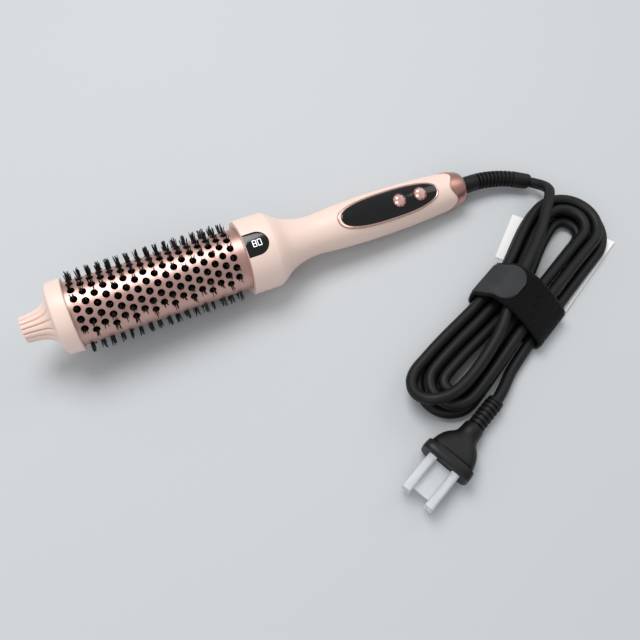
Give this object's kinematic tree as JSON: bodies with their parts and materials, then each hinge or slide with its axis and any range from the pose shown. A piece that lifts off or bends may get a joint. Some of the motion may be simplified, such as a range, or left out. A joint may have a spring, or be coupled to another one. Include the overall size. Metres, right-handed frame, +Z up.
{
  "type": "heated round hair brush",
  "caption": "Heated round hair brush with a perforated barrel, bristle tufts, handle with display, panel and buttons, swivel cord tied in a hank and a guarded plug.",
  "frame": {"origin": "table level under the middle of the brush, cord left out", "axes": "+X from the cool tip towards the cord along the brush's plan, +Z up, +Y away from the plug's side"},
  "size_m": [0.305, 0.1715, 0.0483],
  "materials": {
    "pink_plastic": "satin",
    "rose_metal": "metallic",
    "bristle": "satin",
    "steel": "brushed",
    "insulator": "matte",
    "aluminium": "plain",
    "heater": "ceramic",
    "film": "film",
    "black_plastic": "satin",
    "gloss_black": "gloss",
    "board": "satin",
    "jewel": "faceted",
    "capacitor": "gloss",
    "red_wire": "satin",
    "blue_wire": "satin",
    "black_rubber": "matte",
    "tie_fabric": "hook and loop",
    "tag": "paper",
    "clear_plastic": "clear soft plastic"
  },
  "bodies": {
    "brush": {"cool_tip": "pink_plastic", "barrel": "rose_metal", "bristles": "bristle", "spindle": "steel", "spindle_nut": "steel", "front_bushing": "insulator", "rear_bushing": "insulator", "heat_spreader": "aluminium", "heater_plate_upper": "heater", "heater_plate_lower": "heater", "heater_film_upper": "film", "heater_film_lower": "film", "temperature_sensor": "black_plastic", "thermal_fuse": "insulator", "handle_upper": "pink_plastic", "handle_lower": "pink_plastic", "handle_screws": "steel", "display_lens": "gloss_black", "display_board": "board", "digit_block": "black_plastic", "panel": "gloss_black", "panel_trim": "rose_metal", "control_board": "board", "button_switches": "black_plastic", "capacitor": "capacitor", "power_switch_chip": "black_plastic", "heater_wires": "red_wire", "supply_wires": "blue_wire", "tail_cap": "rose_metal", "contact_carrier": "insulator"},
    "power_button": {"power_button": "rose_metal", "power_jewel": "jewel"},
    "mode_button": {"mode_button": "rose_metal", "mode_jewel": "jewel"},
    "cord": {"swivel_sleeve": "black_plastic", "strain_relief": "black_rubber", "cord_lead": "black_rubber", "cord_hank": "black_rubber", "cord_tail": "black_rubber", "cable_tie": "tie_fabric", "left_tag": "tag", "right_tag": "tag", "plug_relief": "black_rubber", "plug_body": "black_plastic", "plug_blades": "steel"},
    "guard": {"blade_guard": "clear_plastic"}
  },
  "joints": [
    {"name": "power_press", "type": "slide", "parent": "brush", "child": "power_button", "axis": [-0.08, 0.2924, -0.953], "range_m": [0, 0.0008], "stiffness_N_per_m": 2000},
    {"name": "mode_press", "type": "slide", "parent": "brush", "child": "mode_button", "axis": [-0.08, 0.2924, -0.953], "range_m": [0, 0.0008], "stiffness_N_per_m": 2000},
    {"name": "cord_swivel", "type": "hinge", "parent": "brush", "child": "cord", "pos_m": [0.11507, 0, 0.01015], "axis": [0.9965, 0, -0.0837], "continuous": true},
    {"name": "guard_slide", "type": "slide", "parent": "cord", "child": "guard", "axis": [-0.9135, -0.4067, 0], "range_m": [0, 0.02]}
  ]
}
